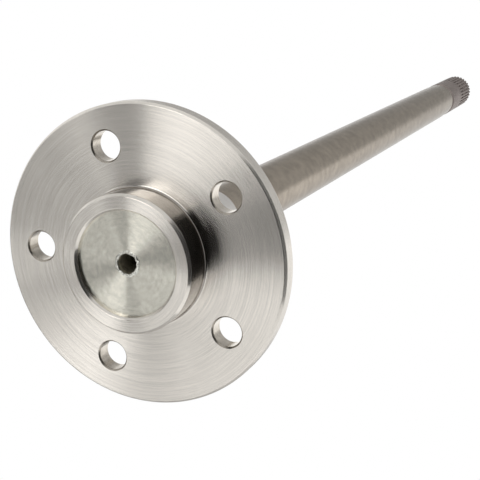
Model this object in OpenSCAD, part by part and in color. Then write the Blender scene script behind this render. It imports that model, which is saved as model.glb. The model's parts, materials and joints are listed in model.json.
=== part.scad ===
// Axle shaft with a round wheel flange, forged and turned as one piece of steel.
// It stands on its hub face: Z runs up the axis, from the hub face to the splined end.

/* [Wheel flange] */
// Outside diameter of the flange
flange_d = 154; // [142:0.5:170]
// Thickness of the flange
flange_t = 9.4; // [7:0.1:14]
// Chamfer round the rim on the wheel side
rim_chamfer = 1.2; // [0.4:0.1:2]
// Chamfer round the rim on the shaft side
rim_back_chamfer = 0.8; // [0.4:0.1:2]

/* [Stud holes] */
// Number of wheel stud holes
stud_count = 5; // [4:1:6]
// Diameter of the circle through the hole centres
stud_circle_d = 114.3; // [105:0.1:118]
// Diameter of each hole
stud_hole_d = 15.1; // [12:0.1:18]
// Chamfer at both mouths of each hole
stud_hole_chamfer = 0.8; // [0.3:0.1:1.5]

/* [Hub pilot] */
// Diameter that centres the wheel
pilot_d = 70.2; // [64:0.1:76]
// Height of the pilot in front of the wheel face
pilot_h = 16.8; // [10:0.1:24]
// Chamfer round the pilot's front edge
pilot_chamfer = 1.4; // [0.5:0.1:2.5]
// Fillet radius where the pilot meets the wheel face
pilot_root_r = 1.3; // [0.5:0.1:2.5]
// Diameter of the shallow recess turned in the hub face
recess_d = 53.4; // [40:0.1:58]
// Depth of that recess
recess_depth = 2.8; // [1.6:0.1:6]
// Chamfer round the mouth of the recess
recess_chamfer = 1.1; // [0.3:0.1:1.5]

/* [Lathe centres] */
// Drill diameter of the centre hole in the hub face
hub_centre_d = 9.4; // [5:0.1:14]
// Depth of the straight part of that hole
hub_centre_depth = 18; // [10:0.5:30]
// Drill diameter of the centre hole in the splined end
tail_centre_d = 5; // [3:0.1:8]
// Depth of the straight part of that hole
tail_centre_depth = 14; // [10:0.5:24]
// Width of the countersunk ring at the mouth of the hole in the hub face
hub_sink_w = 0.7; // [0.3:0.1:1.5]
// Width of the countersunk ring at the mouth of the hole in the splined end
tail_sink_w = 2.2; // [1:0.1:3]
// Full angle of both countersinks
sink_angle = 60; // [60:15:90]

/* [Bearing journal] */
// Diameter of the ground journal that runs in the bearing and the oil seal
journal_d = 35.6; // [34.6:0.1:40]
// Distance from the flange's back to the end of the journal
journal_len = 77; // [50:0.5:110]
// Chamfer at the end of the journal
journal_chamfer = 0.7; // [0.2:0.1:1.2]
// Root radius between the flange's back and the journal
root_r = 16; // [8:0.5:22]

/* [Shaft] */
// Length over all, from the hub face to the splined end
overall_len = 798; // [500:1:1000]
// Diameter of the shaft
shaft_d = 33.6; // [30:0.1:34.4]
// Length of the slight taper before the relief groove
taper_len = 28; // [10:0.5:50]
// Diameter at the small end of that taper
taper_end_d = 32.6; // [31.5:0.1:33.4]
// Chamfer where the taper ends at the relief groove
taper_edge = 0.5; // [0.2:0.1:0.8]

/* [Spline] */
// Number of teeth
spline_teeth = 31; // [28:1:33]
// Module: pitch diameter divided by the number of teeth
spline_module = 1.058; // [0.95:0.001:1.15]
// Pressure angle of the involute flanks
pressure_angle = 30; // [25:1:36]
// Height of the teeth above the pitch circle
addendum = 0.3; // [0.2:0.05:0.5]
// Depth of the tooth spaces below the pitch circle
dedendum = 0.9; // [0.6:0.05:1]
// Length of the tooth spaces at full depth, from the splined end
spline_len = 42; // [30:0.5:60]
// Slope at which the tooth spaces run out
runout_angle = 4.5; // [3:0.5:12]
// Length of the turned blank that carries the teeth
blank_len = 91; // [70:0.5:110]
// Chamfer round the splined end
spline_chamfer = 1.4; // [0.5:0.1:2]

/* [Relief groove] */
// Width of the groove's floor
groove_w = 4.5; // [2:0.1:8]
// How far the groove's floor lies under the bottoms of the tooth spaces
groove_clear = 0.3; // [0.1:0.05:0.8]

/* [Hidden] */
$fn = 120;

// How far a cutter runs past the face it cuts
cut = 0.6;
// Straight stretches that stand for one involute flank
flank_steps = 4;
// Half of a twist drill's point angle
drill_half_angle = 59;

flange_r = flange_d / 2;
flange_back = pilot_h + flange_t;
pilot_r = pilot_d / 2;
recess_r = recess_d / 2;
stud_r = stud_hole_d / 2;
journal_r = journal_d / 2;
journal_top = flange_back + journal_len;
shaft_r = shaft_d / 2;
taper_end_r = taper_end_d / 2;

pitch_r = spline_teeth * spline_module / 2;
base_r = pitch_r * cos(pressure_angle);
outer_r = pitch_r + addendum;
tooth_root_r = pitch_r - dedendum;
spline_start = overall_len - spline_len;

groove_r = tooth_root_r - groove_clear;
blank_start = overall_len - blank_len;
groove_top = blank_start - (outer_r - groove_r);
groove_bottom = groove_top - groove_w;
taper_start = groove_bottom - taper_len;

// Outline of a centre hole on the axis, from its tip to its mouth at height z.
// Way is 1 where the hole goes up from its mouth and -1 where it goes down.
function centre_outline(z, way, drill_r, depth, sink_w) = [
    [0, z + way * (depth + drill_r / tan(drill_half_angle))],
    [drill_r, z + way * depth],
    [drill_r, z + way * sink_w / tan(sink_angle / 2)],
    [drill_r + sink_w, z]
];

function reversed(list) = [for (i = [len(list) - 1 : -1 : 0]) list[i]];

// Involute function, in degrees
function involute(angle) = tan(angle) * 180 / PI - angle;

// Half the angle that a tooth space takes up at radius r
function space_half_angle(r) =
    90 / spline_teeth + involute(acos(base_r / r)) - involute(pressure_angle);

// Half of the turned section, with the radius along X and the axis along Y
module turned_section() {
    polygon(concat(
        centre_outline(recess_depth, 1, hub_centre_d / 2, hub_centre_depth, hub_sink_w),
        [
            [recess_r, recess_depth],
            [recess_r, recess_chamfer],
            [recess_r + recess_chamfer, 0],
            [pilot_r - pilot_chamfer, 0],
            [pilot_r, pilot_chamfer],
            [pilot_r, pilot_h],
            [flange_r - rim_chamfer, pilot_h],
            [flange_r, pilot_h + rim_chamfer],
            [flange_r, flange_back - rim_back_chamfer],
            [flange_r - rim_back_chamfer, flange_back],
            [journal_r, flange_back],
            [journal_r, journal_top - journal_chamfer],
            [journal_r - journal_chamfer, journal_top],
            [shaft_r, journal_top],
            [shaft_r, taper_start],
            [taper_end_r, groove_bottom - taper_edge],
            [taper_end_r - taper_edge, groove_bottom],
            [groove_r, groove_bottom],
            [groove_r, groove_top],
            [outer_r, blank_start],
            [outer_r, overall_len - spline_chamfer],
            [outer_r - spline_chamfer, overall_len]
        ],
        reversed(centre_outline(overall_len, -1, tail_centre_d / 2, tail_centre_depth, tail_sink_w))
    ));
    inner_corner(pilot_r, pilot_h, pilot_root_r, -1);
    inner_corner(journal_r, flange_back, root_r, 1);
}

// Fillet in the corner between a cylinder of radius r and a flat face at height z.
// Way is 1 where the cylinder stands above the face and -1 where it hangs below it.
module inner_corner(r, z, fillet_r, way) {
    translate([r, z])
        mirror([0, way < 0 ? 1 : 0])
            difference() {
                translate([-cut, -cut])
                    square(fillet_r + cut);
                translate([fillet_r, fillet_r])
                    circle(fillet_r);
            }
}

// One stud hole with both its chamfers, as a turned cutter
module stud_hole() {
    mouth_r = stud_r + stud_hole_chamfer + cut;
    rotate_extrude($fn = 64)
        polygon([
            [0, pilot_h - cut],
            [mouth_r, pilot_h - cut],
            [stud_r, pilot_h + stud_hole_chamfer],
            [stud_r, flange_back - stud_hole_chamfer],
            [mouth_r, flange_back + cut],
            [0, flange_back + cut]
        ]);
}

module stud_holes() {
    for (i = [0 : stud_count - 1])
        rotate(90 + i * 360 / stud_count)
            translate([stud_circle_d / 2, 0, 0])
                stud_hole();
}

// Section of one tooth space, on the X axis, with involute flanks
module tooth_space_section() {
    top_r = outer_r + cut;
    flank = [
        for (i = [0 : flank_steps])
            let (r = tooth_root_r + (top_r - tooth_root_r) * i / flank_steps)
                [r, space_half_angle(r)]
    ];
    right = [for (p = flank) [p[0] * cos(p[1]), p[0] * sin(p[1])]];
    left = [for (p = flank) [p[0] * cos(p[1]), -p[0] * sin(p[1])]];
    polygon(concat(right, reversed(left)));
}

// One tooth space: straight to the splined end, and sloping out of the blank at the other
module tooth_space() {
    runout_len = (outer_r - tooth_root_r + cut) / sin(runout_angle);
    translate([0, 0, spline_start])
        linear_extrude(spline_len + cut)
            tooth_space_section();
    translate([tooth_root_r, 0, spline_start])
        rotate([0, -runout_angle, 0])
            translate([-tooth_root_r, 0, -runout_len])
                linear_extrude(runout_len)
                    tooth_space_section();
}

module tooth_spaces() {
    for (i = [0 : spline_teeth - 1])
        rotate(i * 360 / spline_teeth)
            tooth_space();
}

module axle_shaft() {
    color([0.68, 0.66, 0.63])
        difference() {
            rotate_extrude()
                turned_section();
            stud_holes();
            tooth_spaces();
        }
}

axle_shaft();
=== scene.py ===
"""Dresses the axle shaft in turned steel and sets up its studio."""
import json
import math
from typing import NamedTuple

import bmesh
import bpy
from mathutils import Euler, Matrix, Vector, noise


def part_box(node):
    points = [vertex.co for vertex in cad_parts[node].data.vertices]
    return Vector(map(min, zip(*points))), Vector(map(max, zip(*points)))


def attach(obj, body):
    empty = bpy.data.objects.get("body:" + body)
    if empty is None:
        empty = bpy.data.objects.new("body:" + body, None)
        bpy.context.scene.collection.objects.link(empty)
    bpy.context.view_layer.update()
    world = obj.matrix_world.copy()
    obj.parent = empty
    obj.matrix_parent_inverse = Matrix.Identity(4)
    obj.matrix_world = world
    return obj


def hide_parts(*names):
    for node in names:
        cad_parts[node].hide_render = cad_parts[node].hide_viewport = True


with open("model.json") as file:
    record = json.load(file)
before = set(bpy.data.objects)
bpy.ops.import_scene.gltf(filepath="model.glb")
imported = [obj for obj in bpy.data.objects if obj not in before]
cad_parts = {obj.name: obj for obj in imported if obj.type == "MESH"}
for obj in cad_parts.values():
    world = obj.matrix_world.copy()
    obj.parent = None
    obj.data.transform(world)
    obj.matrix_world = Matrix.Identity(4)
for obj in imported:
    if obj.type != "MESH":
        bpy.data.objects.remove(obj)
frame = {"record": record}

bl_info = {
    "name": "Axle Shaft",
    "version": (1, 0, 0),
    "blender": (4, 5, 0),
    "location": "3D View > Sidebar > Axle",
    "description": "A flanged axle shaft in turned steel, with its studio",
    "category": "Mesh",
}

MOUNTS = {mount["name"]: mount for mount in frame["record"]["mounts"]}
STUD_COUNT = MOUNTS["wheel_studs"]["dims"]["count"]
LOW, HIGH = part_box("axle_shaft")
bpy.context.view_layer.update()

PER_METRE = 1000.0

# Steps round a turned piece, along a tooth's flank and round a rounded corner
LATHE_STEPS = 240
HOLE_STEPS = 64
BURR_STEPS = 220
FLANK_STEPS = 6
EDGE_STEPS = 3
FILLET_STEPS = 12

# In millimetres: from what radius a rounded corner is a fillet, how far a cutter runs past the face
# it cuts, how close two points are one, and the room left when a face is sorted by its place
FILLET_FROM = 1.0
OVERCUT = 0.6
WELD = 0.0001
MARGIN = 0.01
HOLE_MARGIN = 0.1

# The upright part of a normal, under which a face isn't flat, is steep, and is a plain wall
FLAT = 0.99
STEEP = 0.9
WALL = 0.1

DRILL_HALF_ANGLE = math.radians(59)
SHARP_ANGLE = math.radians(28)
FACING, RIM, RECESS, PILOT, SHAFT_SKIN, JOURNAL, SPLINE, DRILLED, CENTRE = range(9)

# How often the burr tears in a millimetre, coarsely and finely, how much the fine tears count, how
# much of the burr is left on the whole, how far that varies, and its least height in millimetres
COARSE_TEARS = 0.5
FINE_TEARS = 1.7
FINE_SHARE = 0.7
BURR_LEFT = 0.4
BURR_TORN = 2.2
BURR_SKIN = 0.02

# How far the burr sways aside, how often in a millimetre, and where that pattern starts
SWAY = 0.12
SWAYS = 0.6
SWAY_START = Vector((7, 3, 1))

# How often a tool mark fades along its turn, how far the roughness varies, and the part of the
# pattern's range that the colours spread over
MARK_FADES = 1.5
ROUGH_VARIES = 0.02
PATTERN_LOW, PATTERN_HIGH = 0.35, 0.65

# The floor's half side, how far it lies under the hub face and how long a reflection has to be to
# show it, all in metres, and its roughness
FLOOR_HALF = 30.0
FLOOR_GAP = 0.0002
FLOOR_REACH = 0.08
FLOOR_ROUGHNESS = 0.9

# A ray that has been thrown back once has a depth under this
SECOND_BOUNCE = 1.5

# The camera's sensor in millimetres, and the nearest and farthest that it sees in metres
SENSOR_WIDTH = 36.0
CLIP_NEAR, CLIP_FAR = 0.01, 100.0

# A card's distance as a share of the distance of the card before it
CARD_STEP = 0.97

# Strength of the backdrop as light on matt surfaces, and where it is seen
MATT_LIGHT, PLAIN_WHITE = 0.7, 1.0


class Card(NamedTuple):
    """A flat card of the studio, as seen from the flange: its angles off the line to the camera,
    its turn and half sizes, all in degrees, and how bright it is where white is 1."""
    name: str
    across: float
    up: float
    roll: float
    half_width: float
    half_height: float
    level: float


# Each card hangs a little nearer than the one before it, and so covers it
CARDS = (
    Card("room", across=-20, up=10, roll=0, half_width=78, half_height=78, level=0.65),
    Card("far_end", across=80, up=100, roll=5, half_width=35, half_height=24, level=0.15),
    Card("behind", across=-50, up=-120, roll=25, half_width=50, half_height=40, level=0.4),
    Card("right", across=40, up=-5, roll=-15, half_width=55, half_height=35, level=0.05),
    Card("fill", across=-27, up=14, roll=-20, half_width=10, half_height=22, level=1.1),
    Card("low_flag", across=-5, up=-20, roll=-45, half_width=25, half_height=40, level=0.0),
    Card("strip", across=-40, up=6, roll=-8, half_width=7, half_height=27, level=2.0),
    Card("left", across=-82, up=-5, roll=-15, half_width=20, half_height=11, level=0.05),
    Card("left_dark", across=-76, up=-41, roll=40, half_width=9, half_height=6, level=0.1),
    Card("left_low", across=-67, up=-27, roll=35, half_width=6, half_height=3, level=1.3),
    Card("left_edge", across=-64, up=8, roll=20, half_width=3, half_height=12, level=1.3),
    Card("gap", across=-38, up=-26, roll=-5, half_width=11, half_height=6, level=0.04),
    Card("table", across=-32, up=-44, roll=-5, half_width=25, half_height=15, level=1.0),
    Card("table_edge", across=-62, up=-54, roll=27, half_width=5, half_height=19, level=1.4),
    Card("shade", across=-50, up=-41, roll=10, half_width=1.5, half_height=15, level=0.7),
    Card("flag", across=-52, up=4, roll=-8, half_width=4, half_height=28, level=0.2),
)


def mount_size(name, key):
    """A size of one of the record's mounts, in metres."""
    return MOUNTS[name]["dims"][key] / PER_METRE


def length(name, description, default):
    """A length property, in metres."""
    return bpy.props.FloatProperty(
        name=name, description=description, default=default, min=0.0, precision=5,
        subtype="DISTANCE", unit="LENGTH")


def angle(name, description, default):
    """An angle property, given in degrees."""
    return bpy.props.FloatProperty(
        name=name, description=description, default=math.radians(default),
        subtype="ANGLE", unit="ROTATION")


def colour(name, description, default):
    """A colour property."""
    return bpy.props.FloatVectorProperty(
        name=name, description=description, default=default, size=3, min=0.0, max=1.0,
        subtype="COLOR")


class ShaftSizes(bpy.types.PropertyGroup):
    """Sizes of the turned steel piece"""
    flange_d: length("Flange diameter", "Outside diameter of the wheel flange", HIGH[0] - LOW[0])
    flange_t: length("Flange thickness", "Thickness of the wheel flange", 0.0094)
    rim_chamfer: length("Rim chamfer", "Chamfer round the rim on the wheel side", 0.0012)
    rim_back_chamfer: length("Back rim chamfer", "Chamfer round the rim on the shaft side", 0.0008)
    stud_circle_d: length("Stud circle", "Circle through the stud holes",
                          mount_size("wheel_studs", "pcd_mm"))
    stud_hole_d: length("Stud hole", "Diameter of a stud hole",
                        2 * mount_size("wheel_studs", "hole_r_mm"))
    stud_hole_chamfer: length("Hole chamfer", "Chamfer at both mouths of a stud hole", 0.0008)
    pilot_d: length("Pilot diameter", "Diameter that centres the wheel",
                    2 * mount_size("hub_pilot", "r_mm"))
    pilot_h: length("Pilot height", "Height of the pilot in front of the wheel face",
                    MOUNTS["wheel_face"]["pos_m"][2])
    pilot_chamfer: length("Pilot chamfer", "Chamfer round the pilot's front edge", 0.0014)
    pilot_root_r: length("Pilot root", "Fillet where the pilot meets the wheel face", 0.0013)
    recess_d: length("Recess diameter", "Diameter of the recess in the hub face", 0.0534)
    recess_depth: length("Recess depth", "Depth of the recess in the hub face", 0.0028)
    recess_chamfer: length("Recess chamfer", "Chamfer round the recess", 0.0011)
    hub_centre_d: length("Hub centre", "Drill diameter of the lathe centre in the hub", 0.0094)
    hub_centre_depth: length("Hub centre depth", "Depth of the lathe centre in the hub", 0.018)
    hub_sink_w: length("Hub countersink", "Width of the countersunk ring in the hub", 0.0007)
    tail_centre_d: length("End centre", "Drill diameter of the lathe centre in the splined end", 0.005)
    tail_centre_depth: length("End centre depth", "Depth of the lathe centre in the splined end", 0.014)
    tail_sink_w: length("End countersink", "Width of the countersunk ring in the splined end", 0.0022)
    sink_angle: angle("Countersink angle", "Full angle of both countersinks", 60)
    journal_d: length("Journal diameter", "Diameter of the bearing journal",
                      2 * mount_size("bearing_journal", "r_mm"))
    journal_len: length("Journal length", "From the flange's back to the end of the journal", 0.077)
    journal_chamfer: length("Journal chamfer", "Chamfer at the end of the journal", 0.0007)
    root_r: length("Root radius", "Fillet between the flange's back and the journal", 0.016)
    overall_len: length("Overall length", "From the hub face to the splined end", HIGH[2] - LOW[2])
    shaft_d: length("Shaft diameter", "Diameter of the plain shaft", 0.0336)
    taper_len: length("Taper length", "Slight taper before the relief groove", 0.028)
    taper_end_d: length("Taper end", "Diameter at the small end of the taper", 0.0326)
    taper_edge: length("Taper edge", "Chamfer where the taper ends", 0.0005)
    spline_teeth: bpy.props.IntProperty(
        name="Teeth", description="Number of spline teeth", default=31, min=12)
    spline_module: length("Module", "Pitch diameter divided by the number of teeth", 0.001058)
    pressure_angle: angle("Pressure angle", "Pressure angle of the involute flanks", 30)
    addendum: length("Addendum", "Height of the teeth above the pitch circle", 0.0003)
    dedendum: length("Dedendum", "Depth of the tooth spaces below the pitch circle", 0.0009)
    spline_len: length("Spline length", "Length of the tooth spaces at full depth",
                       mount_size("drive_spline", "length_mm"))
    runout_angle: angle("Run-out angle", "Slope at which the tooth spaces run out", 4.5)
    blank_len: length("Blank length", "Length of the blank that carries the teeth", 0.091)
    spline_chamfer: length("Spline chamfer", "Chamfer round the splined end", 0.0014)
    groove_w: length("Groove width", "Width of the relief groove's floor", 0.0045)
    groove_clear: length("Groove clearance", "How far the groove lies under the tooth spaces", 0.0003)
    edge_r: length("Edge radius", "Rounding of every turned edge", 0.00018)
    burr_w: length("Burr width", "Width of the burr round the lathe centre", 0.0018)
    burr_h: length("Burr height", "Height of the burr round the lathe centre", 0.0004)


class SteelFinish(bpy.types.PropertyGroup):
    """Colours of the steel, by the way each surface was cut"""
    facing: colour("Faced steel", "Flange and hub face", (0.82, 0.78, 0.72))
    pilot: colour("Pilot wall", "Finish-turned wall of the hub pilot", (0.44, 0.41, 0.375))
    recess: colour("Recess", "Floor of the recess in the hub", (0.71, 0.69, 0.61))
    shaft_skin: colour("Shaft", "Plain shaft", (0.385, 0.34, 0.285))
    journal: colour("Journal", "Ground bearing journal and its root", (0.66, 0.64, 0.61))
    spline: colour("Spline", "Teeth and their blank", (0.33, 0.285, 0.265))
    drilled: colour("Drilled steel", "Walls of the stud holes", (0.50, 0.46, 0.40))
    centre: colour("Lathe centre", "Oily walls of the lathe centres", (0.20, 0.18, 0.13))


class StudioSettings(bpy.types.PropertyGroup):
    """Camera, floor and light"""
    camera_location: bpy.props.FloatVectorProperty(
        name="Camera", description="Where the camera stands", size=3, subtype="TRANSLATION",
        unit="LENGTH", default=(0.1866, -0.2077, -0.4426))
    camera_rotation: bpy.props.FloatVectorProperty(
        name="Camera rotation", description="How the camera is turned", size=3, subtype="EULER",
        unit="ROTATION", default=tuple(map(math.radians, (165.68, -22.26, -17.85))))
    lens: bpy.props.FloatProperty(
        name="Lens", description="Focal length on a 36 mm sensor", default=81.0, unit="CAMERA")
    floor_colour: colour("Floor", "Pale studio floor", (0.86, 0.86, 0.855))
    card_distance: length("Card distance", "How far off the first card hangs", 7.0)
    lamp_power: bpy.props.FloatProperty(
        name="Lamp power", description="Power of the soft lamp overhead", default=30.0, min=0.0,
        unit="POWER")
    lamp_size: length("Lamp size", "Side of the soft lamp", 4.0)
    lamp_height: length("Lamp height", "How high the soft lamp hangs", 3.0)


class AxleSettings(bpy.types.PropertyGroup):
    """All settings of the axle shaft"""
    sizes: bpy.props.PointerProperty(
        name="Sizes", description="Sizes of the turned steel piece", type=ShaftSizes)
    finish: bpy.props.PointerProperty(
        name="Finish", description="Colours of the steel", type=SteelFinish)
    studio: bpy.props.PointerProperty(
        name="Studio", description="Camera, floor and light", type=StudioSettings)


class Millimetres:
    """Reads the sizes in millimetres, the scale at which the cuts are made."""

    def __init__(self, sizes):
        self.sizes = sizes

    def __getattr__(self, name):
        value = getattr(self.sizes, name)
        return value if name.endswith("_angle") or name == "spline_teeth" else value * PER_METRE

    @property
    def flange_back(self):
        return self.pilot_h + self.flange_t

    @property
    def journal_top(self):
        return self.flange_back + self.journal_len

    @property
    def pitch_r(self):
        return self.spline_teeth * self.spline_module / 2

    @property
    def outer_r(self):
        return self.pitch_r + self.addendum

    @property
    def tooth_root_r(self):
        return self.pitch_r - self.dedendum

    @property
    def blank_start(self):
        return self.overall_len - self.blank_len

    @property
    def spline_start(self):
        return self.overall_len - self.spline_len

    @property
    def groove_r(self):
        return self.tooth_root_r - self.groove_clear

    @property
    def groove_top(self):
        return self.blank_start - (self.outer_r - self.groove_r)

    @property
    def groove_bottom(self):
        return self.groove_top - self.groove_w


def centre_outline(z, way, drill_r, depth, sink_w, half_angle):
    """Outline of a lathe centre from its tip to its mouth: radius, height and rounding."""
    return [
        (0.0, z + way * (depth + drill_r / math.tan(DRILL_HALF_ANGLE)), 0),
        (drill_r, z + way * depth, 0),
        (drill_r, z + way * sink_w / math.tan(half_angle), 0),
        (drill_r + sink_w, z, 0),
    ]


def turned_outline(mm):
    """Outline of the turned piece: radius, height and rounding of each corner."""
    edge = mm.edge_r
    half_sink = mm.sink_angle / 2
    pilot_r, flange_r, recess_r = mm.pilot_d / 2, mm.flange_d / 2, mm.recess_d / 2
    journal_r, shaft_r, taper_r = mm.journal_d / 2, mm.shaft_d / 2, mm.taper_end_d / 2
    hub = centre_outline(
        mm.recess_depth, 1, mm.hub_centre_d / 2, mm.hub_centre_depth, mm.hub_sink_w, half_sink)
    tail = centre_outline(
        mm.overall_len, -1, mm.tail_centre_d / 2, mm.tail_centre_depth, mm.tail_sink_w, half_sink)
    return hub + [
        (recess_r, mm.recess_depth, 0),
        (recess_r, mm.recess_chamfer, edge),
        (recess_r + mm.recess_chamfer, 0.0, edge),
        (pilot_r - mm.pilot_chamfer, 0.0, edge),
        (pilot_r, mm.pilot_chamfer, edge),
        (pilot_r, mm.pilot_h, mm.pilot_root_r),
        (flange_r - mm.rim_chamfer, mm.pilot_h, edge),
        (flange_r, mm.pilot_h + mm.rim_chamfer, edge),
        (flange_r, mm.flange_back - mm.rim_back_chamfer, edge),
        (flange_r - mm.rim_back_chamfer, mm.flange_back, edge),
        (journal_r, mm.flange_back, mm.root_r),
        (journal_r, mm.journal_top - mm.journal_chamfer, edge),
        (journal_r - mm.journal_chamfer, mm.journal_top, 0),
        (shaft_r, mm.journal_top, 0),
        (shaft_r, mm.groove_bottom - mm.taper_len, 0),
        (taper_r, mm.groove_bottom - mm.taper_edge, edge),
        (taper_r - mm.taper_edge, mm.groove_bottom, 0),
        (mm.groove_r, mm.groove_bottom, 0),
        (mm.groove_r, mm.groove_top, 0),
        (mm.outer_r, mm.blank_start, edge),
        (mm.outer_r, mm.overall_len - mm.spline_chamfer, edge),
        (mm.outer_r - mm.spline_chamfer, mm.overall_len, 0),
    ] + tail[::-1]


def burr_outline(mm):
    """Outline of the burr: its foot in the steel, its slope up to the crest and its inner lip."""
    lean = 0.35
    inner = mm.hub_centre_d / 2 + mm.hub_sink_w - lean
    outer = inner + mm.burr_w
    ground, rise = mm.recess_depth, mm.burr_h
    foot = (inner, ground + 0.4, 0)
    heel = (outer, ground + 0.15, 0)
    toe = (outer - 0.3, ground - 0.05, 0)
    slope = (inner + mm.burr_w * 0.55, ground - 0.35 * rise, 0)
    crest = (inner + lean, ground - rise, 0)
    lip = (inner + 0.05, ground - 0.3 * rise, 0)
    return [foot, heel, toe, slope, crest, lip, foot]


def spin_outline(outline, steps):
    """Draws an outline of radius, height and rounding, rounds its corners and turns it about Z."""
    bm = bmesh.new()
    corners = [bm.verts.new((radius, 0.0, z)) for radius, z, _ in outline]
    for first, second in zip(corners, corners[1:]):
        bm.edges.new((first, second))
    for rounding in sorted({entry[2] for entry in outline if entry[2]}):
        bmesh.ops.bevel(
            bm, geom=[corner for corner, entry in zip(corners, outline) if entry[2] == rounding],
            offset=rounding, offset_type="OFFSET",
            segments=EDGE_STEPS if rounding < FILLET_FROM else FILLET_STEPS,
            profile=0.5, affect="VERTICES", material=-1)
    bmesh.ops.spin(
        bm, geom=bm.verts[:] + bm.edges[:], cent=(0, 0, 0), axis=(0, 0, 1), angle=math.tau,
        steps=steps, use_merge=True)
    bmesh.ops.remove_doubles(bm, verts=bm.verts[:], dist=WELD)
    bmesh.ops.recalc_face_normals(bm, faces=bm.faces[:])
    return bm


def repeat_round(bm, count):
    """Copies everything in the mesh round the Z axis."""
    bmesh.ops.spin(
        bm, geom=bm.verts[:] + bm.edges[:] + bm.faces[:], cent=(0, 0, 0), axis=(0, 0, 1),
        angle=math.tau * (count - 1) / count, steps=count - 1, use_duplicate=True)
    bmesh.ops.recalc_face_normals(bm, faces=bm.faces[:])


def into_mesh(bm, name):
    """Turns a bmesh into a mesh and frees it."""
    mesh = bpy.data.meshes.new(name)
    bm.to_mesh(mesh)
    bm.free()
    return mesh


def stud_drills(mm):
    """Cutters for the stud holes, each with both its chamfers."""
    hole_r = mm.stud_hole_d / 2
    mouth_r = hole_r + mm.stud_hole_chamfer + OVERCUT
    bm = spin_outline([
        (0.0, mm.pilot_h - OVERCUT, 0),
        (mouth_r, mm.pilot_h - OVERCUT, 0),
        (hole_r, mm.pilot_h + mm.stud_hole_chamfer, mm.edge_r),
        (hole_r, mm.flange_back - mm.stud_hole_chamfer, mm.edge_r),
        (mouth_r, mm.flange_back + OVERCUT, 0),
        (0.0, mm.flange_back + OVERCUT, 0),
    ], HOLE_STEPS)
    bmesh.ops.translate(bm, verts=bm.verts[:], vec=(0.0, mm.stud_circle_d / 2, 0.0))
    repeat_round(bm, STUD_COUNT)
    return into_mesh(bm, "stud_drills")


def involute(pressure):
    """The involute function of an angle."""
    return math.tan(pressure) - pressure


def spline_cutters(mm):
    """Cutters for the tooth spaces, straight to the end and sloping out of the blank."""
    base_r = mm.pitch_r * math.cos(mm.pressure_angle)
    top_r = mm.outer_r + OVERCUT
    flank = []
    for step in range(FLANK_STEPS + 1):
        radius = mm.tooth_root_r + (top_r - mm.tooth_root_r) * step / FLANK_STEPS
        half = (math.pi / 2 / mm.spline_teeth + involute(math.acos(base_r / radius))
                - involute(mm.pressure_angle))
        flank.append((radius * math.cos(half), radius * math.sin(half)))
    bm = bmesh.new()
    section = bm.faces.new(
        [bm.verts.new((x, y, mm.spline_start)) for x, y in flank]
        + [bm.verts.new((x, -y, mm.spline_start)) for x, y in reversed(flank)])
    runout = (top_r - mm.tooth_root_r) / math.tan(mm.runout_angle)
    for way in ((0.0, 0.0, mm.spline_len + OVERCUT), (top_r - mm.tooth_root_r, 0.0, -runout)):
        grown = bmesh.ops.extrude_face_region(bm, geom=[section])["geom"]
        bmesh.ops.translate(
            bm, vec=way, verts=[part for part in grown if isinstance(part, bmesh.types.BMVert)])
        section = min(bm.faces, key=lambda face: face.calc_center_median().z)
    repeat_round(bm, mm.spline_teeth)
    return into_mesh(bm, "spline_cutters")


def cut_away(stock_mesh, tool_mesh):
    """Takes the tool's solids out of the stock and returns the new mesh."""
    stock = bpy.data.objects.new("stock", stock_mesh)
    tool = bpy.data.objects.new("tool", tool_mesh)
    for part in (stock, tool):
        bpy.context.scene.collection.objects.link(part)
    cut = stock.modifiers.new("Cut", "BOOLEAN")
    cut.object = tool
    cut.operation = "DIFFERENCE"
    cut.solver = "EXACT"
    graph = bpy.context.evaluated_depsgraph_get()
    result = bpy.data.meshes.new_from_object(stock.evaluated_get(graph), depsgraph=graph)
    if len(result.polygons) <= len(stock_mesh.polygons):
        raise RuntimeError(f"{tool_mesh.name} cut nothing")
    for part, mesh in ((stock, stock_mesh), (tool, tool_mesh)):
        bpy.data.objects.remove(part)
        bpy.data.meshes.remove(mesh)
    return result


def in_stud_hole(centre, mm):
    """Whether a point lies within a stud hole or its chamfers, seen along the axis."""
    mouth_r = mm.stud_hole_d / 2 + mm.stud_hole_chamfer + HOLE_MARGIN
    circle_r = mm.stud_circle_d / 2
    turns = [math.pi / 2 + math.tau * hole / STUD_COUNT for hole in range(STUD_COUNT)]
    return any(
        math.hypot(centre.x - circle_r * math.cos(turn), centre.y - circle_r * math.sin(turn)) < mouth_r
        for turn in turns)


def surface_kind(centre, normal, mm):
    """Which cut made a face, from its middle and normal in millimetres."""
    radius = math.hypot(centre.x, centre.y)
    upright = abs(normal.z)
    on_pilot = abs(radius - mm.pilot_d / 2) < mm.pilot_root_r
    on_rim = abs(radius - mm.flange_d / 2) < mm.rim_chamfer / 2
    if radius < mm.hub_centre_d / 2 + mm.hub_sink_w and upright < FLAT:
        return CENTRE
    if centre.z > mm.groove_bottom:
        return SPLINE
    if centre.z > mm.journal_top - MARGIN:
        return SHAFT_SKIN
    if centre.z > mm.flange_back + MARGIN:
        return JOURNAL
    if radius < mm.recess_d / 2 - MARGIN and centre.z > mm.recess_depth - MARGIN:
        return RECESS
    if on_pilot and upright < STEEP and centre.z > mm.pilot_chamfer:
        return PILOT
    if on_rim and upright < WALL:
        return RIM
    if upright < FLAT and in_stud_hole(centre, mm):
        return DRILLED
    return FACING


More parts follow.
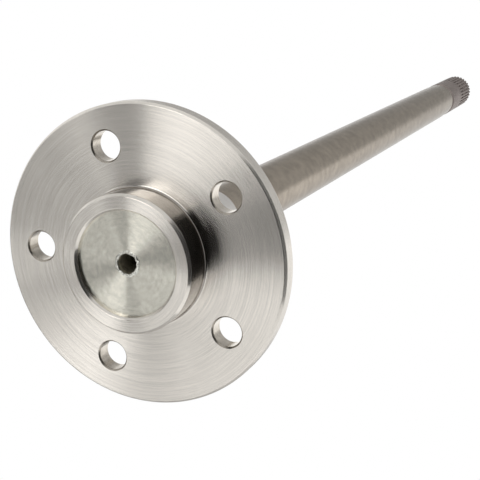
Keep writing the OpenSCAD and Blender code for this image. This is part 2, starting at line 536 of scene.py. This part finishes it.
def tear_burr(bm, ground):
    """Makes the burr ragged where it stands out of the recess's floor."""
    for vertex in bm.verts:
        spot = vertex.co.copy()
        if spot.z < ground:
            tear = noise.noise(spot * COARSE_TEARS) + FINE_SHARE * noise.noise(spot * FINE_TEARS)
            left = max(0.0, BURR_LEFT + BURR_TORN * tear)
            spot.z = min(ground - BURR_SKIN, ground + (spot.z - ground) * left)
            side = 1 + SWAY * noise.noise(spot * SWAYS + SWAY_START)
            spot.x, spot.y = spot.x * side, spot.y * side
        vertex.co = spot


def show_piece(name, mesh, materials):
    """Links a finished mesh as a piece of the object."""
    piece = bpy.data.objects.new(name, mesh)
    for material in materials:
        mesh.materials.append(material)
    bpy.context.scene.collection.objects.link(piece)
    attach(piece, "root")
    return piece


class NodeBench:
    """Builds the nodes of one material or of the world."""

    def __init__(self, owner):
        owner.use_nodes = True
        self.tree = owner.node_tree
        self.shader = self.tree.nodes.get("Principled BSDF")

    def add(self, kind, inputs=None, **settings):
        """Adds a node, with a value or an output on each input that is named."""
        node = self.tree.nodes.new("ShaderNode" + kind)
        for key, value in settings.items():
            setattr(node, key, value)
        for key, value in (inputs or {}).items():
            if isinstance(value, bpy.types.NodeSocket):
                self.tree.links.new(value, node.inputs[key])
            else:
                node.inputs[key].default_value = value
        return node

    def reckon(self, operation, first, second, **settings):
        """Works out one number from two."""
        node = self.add("Math", {0: first, 1: second}, operation=operation, **settings)
        return node.outputs["Value"]

    def link(self, output, name):
        """Leads an output to an input of the main shader."""
        self.tree.links.new(output, self.shader.inputs[name])

    def output(self, node):
        """Shows a node's result on the surface."""
        self.tree.links.new(node.outputs[0], self.tree.get_output_node("ALL").inputs["Surface"])


def cut_steel(name, tint, roughness, stretch=0.0, rings=900.0, clouds=60.0, ringed=0.5, mottle=0.05,
              edge=1.0, metal=1.0):
    """Steel cut in rings round the axis, which draw out the reflections across them.

    Stretch is how far they are drawn out. Rings and clouds are how many marks and blotches there are
    to a metre, ringed is the share of the marks in the pattern, mottle is how far the colour varies,
    edge is how bright it stays at a glance, and metal is less than 1 under oil and dirt."""
    steel = bpy.data.materials.new(name)
    bench = NodeBench(steel)
    place = bench.add("TexCoord").outputs["Object"]
    axis = bench.add("CombineXYZ", {"Z": 1.0}).outputs["Vector"]
    around = bench.add("VectorMath", {0: axis, 1: place}, operation="CROSS_PRODUCT").outputs["Vector"]
    tangent = bench.add("VectorMath", {0: around}, operation="NORMALIZE").outputs["Vector"]
    radius = bench.add("VectorMath", {0: around}, operation="LENGTH").outputs["Value"]
    height = bench.add("SeparateXYZ", {0: place}).outputs["Z"]
    feed = bench.reckon("SUBTRACT", radius, height)
    groove = bench.add("CombineXYZ", {"Z": feed}).outputs["Vector"]
    turn = bench.add("VectorMath", {0: tangent, 1: (MARK_FADES / rings,) * 3, 2: groove},
                     operation="MULTIPLY_ADD").outputs["Vector"]
    marks = bench.add(
        "TexNoise", {"Vector": turn, "Scale": rings, "Detail": 4.0, "Roughness": 0.7}).outputs["Fac"]
    cloud = bench.add("TexNoise", {"Vector": place, "Scale": clouds, "Detail": 3.0}).outputs["Fac"]
    mixed = bench.add("Mix", {"Factor": ringed, "A": cloud, "B": marks}, data_type="FLOAT").outputs[0]
    ramp = bench.add("ValToRGB", {"Fac": mixed})
    stops = ramp.color_ramp.elements
    for stop, position, gain in zip(stops, (PATTERN_LOW, PATTERN_HIGH), (1 - mottle, 1 + mottle)):
        stop.position = position
        stop.color = (*(min(1.0, channel * gain) for channel in tint), 1)
    bench.link(ramp.outputs["Color"], "Base Color")
    rough = bench.add("MapRange", {
        "Value": mixed, "From Min": PATTERN_LOW, "From Max": PATTERN_HIGH,
        "To Min": roughness * (1 + ROUGH_VARIES), "To Max": roughness * (1 - ROUGH_VARIES)})
    bench.link(rough.outputs["Result"], "Roughness")
    bench.link(tangent, "Tangent")
    bench.shader.inputs["Metallic"].default_value = metal
    bench.shader.inputs["Specular Tint"].default_value = (edge, edge, edge, 1)
    bench.shader.inputs["Anisotropic"].default_value = stretch
    bench.shader.inputs["Anisotropic Rotation"].default_value = 0.25
    return steel


def shaft_steels(finish):
    """The steels of the turned piece, in the order of the cuts from FACING to CENTRE."""
    faced = {"roughness": 0.21, "stretch": 1.0, "rings": 1800.0, "ringed": 0.8, "mottle": 0.11}
    return [
        cut_steel("faced_steel", finish.facing, **faced),
        cut_steel("turned_rim", finish.facing, **faced, edge=0.5),
        cut_steel("recess_floor", finish.recess, roughness=0.23, stretch=1.0, rings=1800.0, clouds=400.0,
                  ringed=0.5, mottle=0.11),
        cut_steel("pilot_wall", finish.pilot, roughness=0.12, stretch=0.6, rings=1500.0, ringed=0.8,
                  mottle=0.07),
        cut_steel("shaft_skin", finish.shaft_skin, roughness=0.26, rings=30.0, clouds=160.0, ringed=0.15,
                  mottle=0.1, edge=0.5),
        cut_steel("journal", finish.journal, roughness=0.30, stretch=0.5),
        cut_steel("spline", finish.spline, roughness=0.45, rings=60.0, clouds=300.0, mottle=0.15, edge=0.4,
                  metal=0.8),
        cut_steel("drilled_steel", finish.drilled, roughness=0.26, clouds=300.0, mottle=0.15),
        cut_steel("lathe_centre", finish.centre, roughness=0.45, clouds=600.0, mottle=0.5, metal=0.3),
    ]


class AXLE_OT_turn_shaft(bpy.types.Operator):
    """Turn the shaft, drill its stud holes and cut its spline"""
    bl_idname = "axle.turn_shaft"
    bl_label = "Turn shaft"

    def execute(self, context):
        settings = context.scene.axle
        mm = Millimetres(settings.sizes)
        mesh = into_mesh(spin_outline(turned_outline(mm), LATHE_STEPS), "axle_shaft_turned")
        mesh = cut_away(mesh, stud_drills(mm))
        mesh = cut_away(mesh, spline_cutters(mm))
        for face in mesh.polygons:
            face.material_index = surface_kind(face.center, face.normal, mm)
            face.use_smooth = True
        mesh.transform(Matrix.Scale(1 / PER_METRE, 4))
        mesh.set_sharp_from_angle(angle=SHARP_ANGLE)
        piece = show_piece("axle_shaft_turned", mesh, shaft_steels(settings.finish))
        weigh = piece.modifiers.new("Even normals", "WEIGHTED_NORMAL")
        weigh.keep_sharp = True
        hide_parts("axle_shaft")
        return {"FINISHED"}


class AXLE_OT_raise_burr(bpy.types.Operator):
    """Raise the ragged burr that the drill left round the lathe centre in the hub"""
    bl_idname = "axle.raise_burr"
    bl_label = "Raise burr"

    def execute(self, context):
        settings = context.scene.axle
        mm = Millimetres(settings.sizes)
        bm = spin_outline(burr_outline(mm), BURR_STEPS)
        tear_burr(bm, mm.recess_depth)
        mesh = into_mesh(bm, "axle_shaft_burr")
        mesh.transform(Matrix.Scale(1 / PER_METRE, 4))
        for face in mesh.polygons:
            face.use_smooth = True
        torn = cut_steel("torn_steel", settings.finish.recess, roughness=0.30, clouds=1500.0, ringed=0.1,
                         mottle=0.5)
        show_piece("axle_shaft_burr", mesh, [torn])
        return {"FINISHED"}


class AXLE_OT_set_stage(bpy.types.Operator):
    """Set up the floor, the light and the camera"""
    bl_idname = "axle.set_stage"
    bl_label = "Set stage"

    def execute(self, context):
        scene = context.scene
        studio = scene.axle.studio
        scene.view_settings.view_transform = "Standard"
        eye = bpy.data.cameras.new("camera")
        eye.lens = studio.lens
        eye.sensor_width = SENSOR_WIDTH
        eye.clip_start, eye.clip_end = CLIP_NEAR, CLIP_FAR
        camera = bpy.data.objects.new("camera", eye)
        view = Euler(studio.camera_rotation, "XYZ")
        camera.matrix_world = Matrix.LocRotScale(Vector(studio.camera_location), view, None)
        scene.collection.objects.link(camera)
        scene.camera = camera
        self.floor(scene, studio)
        for order, card in enumerate(CARDS):
            self.hang(scene, card, view.to_matrix(), studio.card_distance * CARD_STEP ** order)
        self.lamp(scene, studio)
        self.backdrop(scene)
        return {"FINISHED"}

    def floor(self, scene, studio):
        """Lays a pale floor. From below it is clear, and a reflection only shows it from far enough."""
        bm = bmesh.new()
        bmesh.ops.create_grid(
            bm, x_segments=1, y_segments=1, size=FLOOR_HALF,
            matrix=Matrix.Translation((0, 0, -FLOOR_GAP)))
        floor = bpy.data.objects.new("floor", into_mesh(bm, "floor"))
        pale = bpy.data.materials.new("floor")
        bench = NodeBench(pale)
        bench.shader.inputs["Base Color"].default_value = (*studio.floor_colour, 1)
        bench.shader.inputs["Roughness"].default_value = FLOOR_ROUGHNESS
        path = bench.add("LightPath").outputs
        far = bench.reckon("GREATER_THAN", path["Ray Length"], FLOOR_REACH)
        first = bench.reckon("LESS_THAN", path["Ray Depth"], SECOND_BOUNCE)
        far_first = bench.reckon("MULTIPLY", first, far)
        mirrored = bench.reckon("MULTIPLY", path["Is Glossy Ray"], far_first)
        shown = bench.reckon("MAXIMUM", path["Is Camera Ray"], mirrored)
        under = bench.add("NewGeometry").outputs["Backfacing"]
        seen = bench.reckon("SUBTRACT", shown, under, use_clamp=True)
        clear = bench.add("BsdfTransparent").outputs["BSDF"]
        bench.output(bench.add("MixShader", {"Fac": seen, 1: clear, 2: bench.shader.outputs["BSDF"]}))
        floor.data.materials.append(pale)
        scene.collection.objects.link(floor)

    def hang(self, scene, card, view, distance):
        """Hangs a flat card that only reflections see, square to the line from the flange."""
        across, up = math.radians(card.across), math.radians(card.up)
        away = math.hypot(across, up)
        toward = Vector((across, up, 0)) * (math.sin(away) / away) + Vector((0, 0, math.cos(away)))
        side = (Vector((1, 0, 0)) - toward * toward.x).normalized()
        side.rotate(Matrix.Rotation(math.radians(card.roll), 3, toward))
        wide = side * math.tan(math.radians(card.half_width)) * distance
        high = toward.cross(side) * math.tan(math.radians(card.half_height)) * distance
        placed = Matrix((view @ wide, view @ high, view @ toward)).transposed().to_4x4()
        placed.translation = view @ toward * distance
        bm = bmesh.new()
        bmesh.ops.create_grid(bm, x_segments=1, y_segments=1, size=1.0, matrix=placed)
        piece = bpy.data.objects.new("card_" + card.name, into_mesh(bm, "card_" + card.name))
        glow = bpy.data.materials.new("card_" + card.name)
        bench = NodeBench(glow)
        bench.output(bench.add("Emission", {"Strength": card.level}))
        glow.cycles.emission_sampling = "NONE"
        piece.data.materials.append(glow)
        piece.visible_camera = piece.visible_diffuse = piece.visible_shadow = False
        scene.collection.objects.link(piece)

    def lamp(self, scene, studio):
        """Hangs a large soft lamp straight over the object."""
        light = bpy.data.lights.new("soft_lamp", "AREA")
        light.energy = studio.lamp_power
        light.size = studio.lamp_size
        lamp = bpy.data.objects.new("soft_lamp", light)
        lamp.location = (0.0, 0.0, studio.lamp_height)
        scene.collection.objects.link(lamp)

    def backdrop(self, scene):
        """White for the camera and for reflections, softer for the light on matt surfaces."""
        world = bpy.data.worlds.new("studio")
        bench = NodeBench(world)
        soft = bench.tree.nodes["Background"]
        white = bench.add("Background")
        for background, strength in ((soft, MATT_LIGHT), (white, PLAIN_WHITE)):
            background.inputs["Color"].default_value = (1, 1, 1, 1)
            background.inputs["Strength"].default_value = strength
        path = bench.add("LightPath").outputs
        seen = bench.reckon("MAXIMUM", path["Is Camera Ray"], path["Is Glossy Ray"])
        seen = bench.reckon("MAXIMUM", seen, path["Is Transmission Ray"])
        bench.output(bench.add("MixShader", {"Fac": seen, 1: soft.outputs[0], 2: white.outputs[0]}))
        world.cycles.sampling_method = "NONE"
        scene.world = world


class AXLE_PT_panel(bpy.types.Panel):
    """Lists the steps that build the axle shaft"""
    bl_label = "Axle shaft"
    bl_space_type = "VIEW_3D"
    bl_region_type = "UI"
    bl_category = "Axle"

    def draw(self, context):
        for step in STEPS:
            self.layout.operator(step.bl_idname)
        axle = context.scene.axle
        for settings in (axle.sizes, axle.finish, axle.studio):
            box = self.layout.box()
            for name in type(settings).__annotations__:
                box.prop(settings, name)


STEPS = (AXLE_OT_turn_shaft, AXLE_OT_raise_burr, AXLE_OT_set_stage)
CLASSES = (ShaftSizes, SteelFinish, StudioSettings, AxleSettings, *STEPS, AXLE_PT_panel)


def register():
    for item in CLASSES:
        bpy.utils.register_class(item)
    bpy.types.Scene.axle = bpy.props.PointerProperty(
        name="Axle shaft", description="All settings of the axle shaft", type=AxleSettings)


def unregister():
    del bpy.types.Scene.axle
    for item in reversed(CLASSES):
        bpy.utils.unregister_class(item)


def main():
    register()
    bpy.ops.axle.turn_shaft()
    bpy.ops.axle.raise_burr()
    bpy.ops.axle.set_stage()


if __name__ == "__main__":
    main()
